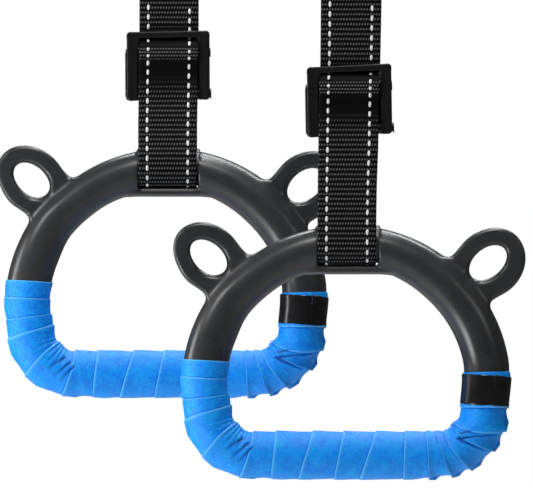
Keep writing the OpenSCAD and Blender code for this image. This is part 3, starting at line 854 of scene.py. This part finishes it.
def seam_line(p0, p1, n, out):
    """Stitches from p0 to p1, on a surface with normal n."""
    p0, p1 = np.array(p0, float), np.array(p1, float)
    L = np.linalg.norm(p1 - p0)
    d = (p1 - p0) / L
    m = max(2, int(round(L / 3.0)))
    x = np.cross(n, d)
    for i in range(m):
        out.append((p0 + d * L * (i + 0.5) / m, d, x, np.array(n, float)))


def box_stitches(o, ex, ez, w, h, n):
    """A box with a cross in it, on the plane through o along ex and ez."""
    o, ex, ez = np.array(o, float), np.array(ex, float), np.array(ez, float)
    c = [o + ex * a * w / 2 + ez * b * h / 2 for a, b in ((-1, -1), (1, -1), (1, 1), (-1, 1))]
    out = []
    for i in range(4):
        seam_line(c[i], c[(i + 1) % 4], n, out)
    seam_line(c[0], c[2], n, out)
    seam_line(c[1], c[3], n, out)
    return out


# ------------------------------------------------------------------ buckle
def poly_sdf(px, py, pts):
    pts = np.array(pts, float)
    d = np.full(px.shape, 1e18)
    sgn = np.ones(px.shape)
    m = len(pts)
    j = m - 1
    for i in range(m):
        ex, ey = pts[j] - pts[i]
        wx, wy = px - pts[i, 0], py - pts[i, 1]
        t = np.clip((wx * ex + wy * ey) / (ex * ex + ey * ey), 0, 1)
        bx, by = wx - ex * t, wy - ey * t
        d = np.minimum(d, bx * bx + by * by)
        c1, c2, c3 = py >= pts[i, 1], py < pts[j, 1], ex * wy > ey * wx
        flip = (c1 & c2 & c3) | (~c1 & ~c2 & ~c3)
        sgn = np.where(flip, -sgn, sgn)
        j = i
    return sgn * np.sqrt(d)


def rbox(x, y, cx, cy, hx, hy, r):
    qx, qy = np.abs(x - cx) - hx + r, np.abs(y - cy) - hy + r
    return np.hypot(np.maximum(qx, 0), np.maximum(qy, 0)) + np.minimum(np.maximum(qx, qy), 0) - r


def slab(d2, v, lo, hi, k):
    return smax(d2, np.abs(v - (lo + hi) / 2) - (hi - lo) / 2, k)


def frame_sdf(p):
    x, y, b = p[:, 0], p[:, 1], p[:, 2]
    a = np.abs(x)
    outline = rbox(x, b, 0, 22.5, 26.9, 22.5, 2.6)
    window = smin(rbox(x, b, 0, 7.0, 19.7, 28.2, 1.2), rbox(x - 0.5, b, 0, 10.0, 19.2, 31.2, 1.2), 0.8)
    plate = slab(smax(outline, -window, 1.0), y, -4.5, -2.0, 0.9)
    bar = slab(slab(np.abs(a - 10) - 30, b, 41.0, 45.0, 0.9), y, -4.5, -0.3, 0.9)
    bar = smax(bar, outline, 0.9)
    prof = poly_sdf(y, b, [(-4.4, 2), (-3.5, 0.6), (-1.5, 0.1), (4.5, 0.1), (6.8, 1), (7.4, 3), (7.4, 31), (6.4, 34.2), (3.4, 36.0), (-0.3, 40.5), (-0.5, 44), (-1.5, 44.9), (-3.5, 44.9), (-4.4, 44)])
    cheek = slab(prof, a, 24.2, 26.85, 0.8)
    cheek = smax(cheek, outline, 0.8)
    return smin(smin(plate, cheek, 1.2), bar, 0.8)


def lever_sdf(p):
    x, y, b = p[:, 0], p[:, 1], p[:, 2]
    a = np.abs(x)
    rc = np.hypot(y - 1.5, b - 30.4)
    ang = np.arctan2(b - 30.4, y - 1.5)
    teeth = 0.45 * (0.5 + 0.5 * np.cos(ang * 26)) * (np.cos(ang - math.radians(150)) > 0.3)
    cam = slab(rc - 6.4 + teeth, a, -18.7, 18.7, 0.7)
    boss = slab(np.hypot(y - 2.5, b - 31) - 4.0, a, -23.6, 23.6, 0.6)
    arm = slab(poly_sdf(y, b, [(2.6, 36.6), (8, 35.1), (9.4, 33.5), (9.4, 23.5), (8.6, 22), (6.2, 25.5), (1.3, 30)]), a, -23.6, 23.6, 0.8)
    plate = slab(rbox(x + 1.0, b, 0, 17.4, 27.4, 16.9, 3.6), y, 8.7, 11.3, 1.0)
    d = smin(smin(smin(cam, boss, 0.6), arm, 1.0), plate, 1.4)
    for i in range(5):
        rib = slab(np.hypot(y - 11.2, b - (4 + 3 * i)) - 0.8, x, -18, 18, 0.6)
        d = smin(d, rib, 0.6)
    return d


QB = 0.6
frame_v, frame_f = surface_nets(frame_sdf, (-28.5, -6, -1.5), (28.5, 9, 46.5), QB)
lever_v, lever_f = surface_nets(lever_sdf, (-29.5, -7, -1.5), (29.5, 13.5, 39), QB)


def at_buckle(v, st):
    t = math.radians(st["tilt"])
    q = np.array(v, float)
    q[:, 2] -= FRAME_H / 2
    x = q[:, 0] * math.cos(t) - q[:, 2] * math.sin(t * 0.35)
    z = q[:, 0] * math.sin(t) + q[:, 2] * math.cos(t)
    return np.stack([x + st["x"] + st["shift"], q[:, 1] + st["y"] + RING_Y, z + st["zb"]], -1)


# ------------------------------------------------------------------ the two sets
wrap = {n: wrap_mesh(n, 11 if n == "front" else 23) for n in SETS}
band_v, band_f = band_mesh()
for n, st in SETS.items():
    o = np.array([st["x"], st["y"], 0.0])
    ring_o = o + np.array([0, RING_Y, st["zs"] - ARC - SEAT_UP])
    hanger, strap, ringb, lever = f"{n}_hanger", f"{n}_strap", f"{n}_ring", f"{n}_lever"

    ob = cleaned(f"{n}_ring_moulding", ring_v, ring_f, M["plastic"], ring_o)
    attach(ob, ringb)
    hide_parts(f"{n}_ring_body")

    # the tape's painted seam highlight and shade travel with the mesh as an attribute
    v, f, suv, edge = wrap[n]
    ob = make_mesh(f"{n}_grip_wrap", v + ring_o, f, attrs={"uvm": ("FLOAT_VECTOR", suv), "edge": ("FLOAT", edge)})
    ob.data.materials.append(M["tape"])
    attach(ob, ringb)
    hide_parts(f"{n}_grip_tape")

    ob = cleaned(f"{n}_finish_band", band_v, band_f, M["band"], ring_o)
    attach(ob, ringb)
    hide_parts(f"{n}_finish_tape")

    eye_pts, loop_pts, (ts, td, tn) = routes(st)
    sw0, sw1 = (st["x"] * 0.001, (st["y"] - 1) * 0.001, -0.0765), (st["x"] * 0.001, (st["y"] - 1) * 0.001, -0.0915)
    tw0, tw1 = (st["x"] * 0.001, (st["y"] - 1) * 0.001, -0.0925), (st["x"] * 0.001, (st["y"] - 1) * 0.001, (st["zb"] + FRAME_H / 2 + 3.5) * 0.001)
    Le = np.sum(np.hypot(*np.diff(np.array(eye_pts), axis=0).T))
    for part, pts, s_off, a, b, w0, w1 in (("eye", eye_pts, st["row"] - Le / RIB, "hanging_eyes", strap, sw0, sw1), ("loop", loop_pts, st["row"], strap, hanger, tw0, tw1)):
        v, f, u, info = web_mesh(pts, s_off, st)
        ob = make_mesh(f"{n}_webbing_{part}", lie(v, st) + o, f, attrs={"wuv": ("FLOAT_VECTOR", u)})
        ob.data.materials.append(M["web"])
        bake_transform(ob)
        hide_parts(*([f"{n}_strap_eye"] if part == "eye" else [f"{n}_strap_upper", f"{n}_strap_loop"]))
        v, f = tracer(info)
        tr = make_mesh(f"{n}_tracers_{part}", lie(v, st) + o, f)
        tr.data.materials.append(M["tracer"])
        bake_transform(tr)

    st_list = box_stitches((0, WEB_Y - 1.02, -62.5), (1, 0, 0), (0, 0, 1), 29, 24, (0, -1, 0)) + box_stitches((0, WEB_Y + 3.05, -62.5), (1, 0, 0), (0, 0, 1), 29, 24, (0, 1, 0))
    v, f = blobs([c for c, *_ in st_list], [t for _, t, *_ in st_list], [x for _, _, x, _ in st_list], [m for *_, m in st_list], (1.25, 0.42, 0.36), 6, 5)
    ob = make_mesh(f"{n}_eye_seam", lie(v, st) + o, f)
    ob.data.materials.append(M["thread"])
    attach(ob, "hanging_eyes")
    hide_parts(f"{n}_eye_stitching")

    z0 = st["zb"] - FRAME_H / 2
    bk = np.array([RING_Y + 6.9, z0 - 3])
    mid = bk + td * 11
    ex, ez, nn = (1, 0, 0), (0, td[0], td[1]), (0, -tn[0], -tn[1])
    p1 = mid - tn * 1.03
    p2 = mid + tn * 3.08
    st_list = box_stitches((0, p1[0], p1[1]), ex, ez, 29, 13, nn) + box_stitches((0, p2[0], p2[1]), ex, ez, 29, 13, (0, tn[0], tn[1]))
    v, f = blobs([c for c, *_ in st_list], [t for _, t, *_ in st_list], [x for _, _, x, _ in st_list], [m for *_, m in st_list], (1.25, 0.42, 0.36), 6, 5)
    ob = make_mesh(f"{n}_loop_seam", lie(v, st) + o, f)
    ob.data.materials.append(M["thread"])
    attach(ob, hanger)
    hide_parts(f"{n}_loop_stitching")

    ob = make_mesh(f"{n}_buckle_shell", at_buckle(frame_v, st), frame_f)
    ob.data.materials.append(M["black"])
    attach(ob, hanger)
    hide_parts(f"{n}_buckle_frame")
    ob = make_mesh(f"{n}_cam_plate", at_buckle(lever_v, st), lever_f)
    ob.data.materials.append(M["black"])
    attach(ob, lever)
    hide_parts(f"{n}_cam_lever")

    for k in ("cam_pin", "cam_spring", "fixed_bar"):
        c = frame["nodes"][f"{n}_{k}"]
        c = c if hasattr(c, "data") else bpy.data.objects[f"{n}_{k}"]
        for sl in c.material_slots:
            sl.material = M["steel"] if k == "cam_spring" else M["black"]

# ------------------------------------------------------------------ studio
cam = bpy.data.cameras.new("camera")
cam.sensor_width = 36.0
cam.sensor_fit = "HORIZONTAL"
DIST = 6.0
cam.lens = 36.0 * DIST / (533 * PX * 0.001)
cam.clip_end = 50
camo = bpy.data.objects.new("camera", cam)
camo.location = (-0.0522, -DIST - 0.0023, -0.2526)
camo.rotation_euler = (math.pi / 2, 0, 0)
bpy.context.scene.collection.objects.link(camo)
bpy.context.scene.camera = camo

ring_n = 96
fl_v = [(3200 * math.cos(2 * math.pi * i / ring_n), 3200 * math.sin(2 * math.pi * i / ring_n), -950) for i in range(ring_n)]
fl = make_mesh("floor", fl_v, [list(range(ring_n))])
m, nt, b = new_mat("floor")
nt.links.new(ramp(nt, noise(nt, objco(nt), 2.0), [(0.3, (0.70, 0.70, 0.70)), (0.7, (0.74, 0.74, 0.74))]), b.inputs["Base Color"])
b.inputs["Roughness"].default_value = 0.9
# pale to look at, whatever falls on it
fe = nt.nodes.new("ShaderNodeEmission")
fl_path = nt.nodes.new("ShaderNodeLightPath")
nt.links.new(mathn(nt, "MULTIPLY", fl_path.outputs["Is Camera Ray"], 0.5), fe.inputs["Strength"])
fa = nt.nodes.new("ShaderNodeAddShader")
nt.links.new(b.outputs[0], fa.inputs[0])
nt.links.new(fe.outputs[0], fa.inputs[1])
nt.links.new(fa.outputs[0], [n for n in nt.nodes if n.type == "OUTPUT_MATERIAL"][0].inputs[0])
fl.data.materials.append(m)

w = bpy.data.worlds.new("studio")
bpy.context.scene.world = w
w.use_nodes = True
wt = w.node_tree
dim = wt.nodes["Background"]
dim.inputs[0].default_value = (1, 1, 1, 1)
dim.inputs[1].default_value = 0.06
# the paper behind the object is lit apart from it: bright to look at, and hardly any light on the object
paper = wt.nodes.new("ShaderNodeBackground")
paper.inputs[0].default_value = (1, 1, 1, 1)
paper.inputs[1].default_value = 1.0
seen = wt.nodes.new("ShaderNodeLightPath")
mixw = wt.nodes.new("ShaderNodeMixShader")
wt.links.new(seen.outputs["Is Camera Ray"], mixw.inputs[0])
wt.links.new(dim.outputs[0], mixw.inputs[1])
wt.links.new(paper.outputs[0], mixw.inputs[2])
wt.links.new(mixw.outputs[0], wt.nodes["World Output"].inputs[0])


def area(name, loc, target, sx, sy, power, colour=(1, 1, 1)):
    l = bpy.data.lights.new(name, "AREA")
    l.shape = "RECTANGLE"
    l.size, l.size_y, l.energy, l.color = sx, sy, power, colour
    ob = bpy.data.objects.new(name, l)
    ob.location = loc
    d = np.array(target, float) - np.array(loc, float)
    from mathutils import Vector
    ob.rotation_euler = Vector(d).to_track_quat("-Z", "Y").to_euler()
    bpy.context.scene.collection.objects.link(ob)
    return ob


T0 = (-0.05, 0.05, -0.25)
area("key", (-1.5, -0.8, 0.85), T0, 0.4, 0.4, 8)
area("left", (-1.6, 0.1, -0.2), T0, 0.35, 1.0, 13)
area("left_low", (-1.2, -0.7, -0.8), T0, 0.5, 0.3, 8)
area("right_front", (1.4, -1.1, 0.5), T0, 0.4, 0.4, 2)
area("top", (0.1, 0.0, 1.2), T0, 1.2, 0.2, 14)
area("top_back", (0.15, 0.9, 0.9), T0, 1.4, 0.25, 15, (0.93, 0.97, 1.0))
area("top_front", (-0.1, -0.9, 1.2), T0, 0.8, 0.3, 12)
bpy.context.scene.view_settings.view_transform = "Standard"
